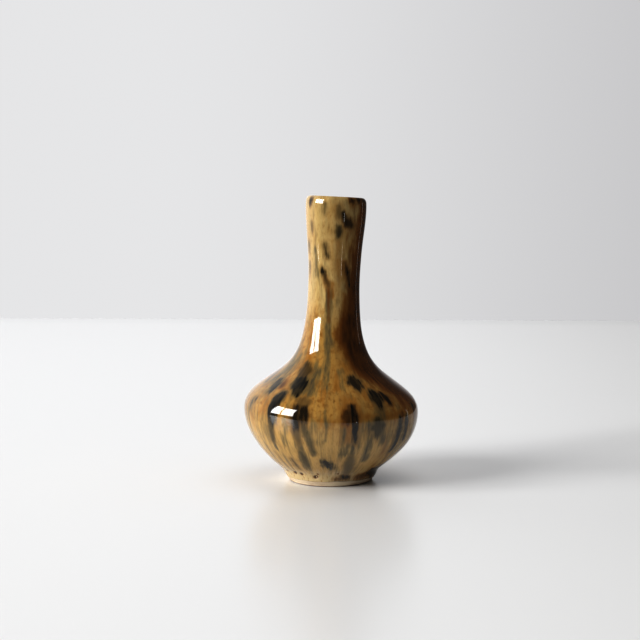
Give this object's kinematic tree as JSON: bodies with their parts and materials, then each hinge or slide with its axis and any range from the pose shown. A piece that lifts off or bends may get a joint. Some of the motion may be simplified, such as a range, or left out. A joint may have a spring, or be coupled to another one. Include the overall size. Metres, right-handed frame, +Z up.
{
  "type": "bud vase",
  "caption": "Glazed ceramic bud vase: a wide low belly that narrows to a short foot ring, and a long neck that flares to a rounded lip, for a single stem.",
  "frame": {"origin": "centre of the foot ring's resting face, on the surface that the vase stands on", "axes": "+Z up through the mouth; +X towards the side that the neck leans to; -Y towards the face with the boldest dabs"},
  "size_m": [0.0862, 0.0862, 0.1406],
  "materials": {
    "bare_clay": "matte",
    "dappled_glaze": "gloss",
    "liner_glaze": "gloss"
  },
  "bodies": {
    "root": {"clay_body": "bare_clay", "outer_glaze": "dappled_glaze", "liner_glaze": "liner_glaze"}
  },
  "joints": []
}
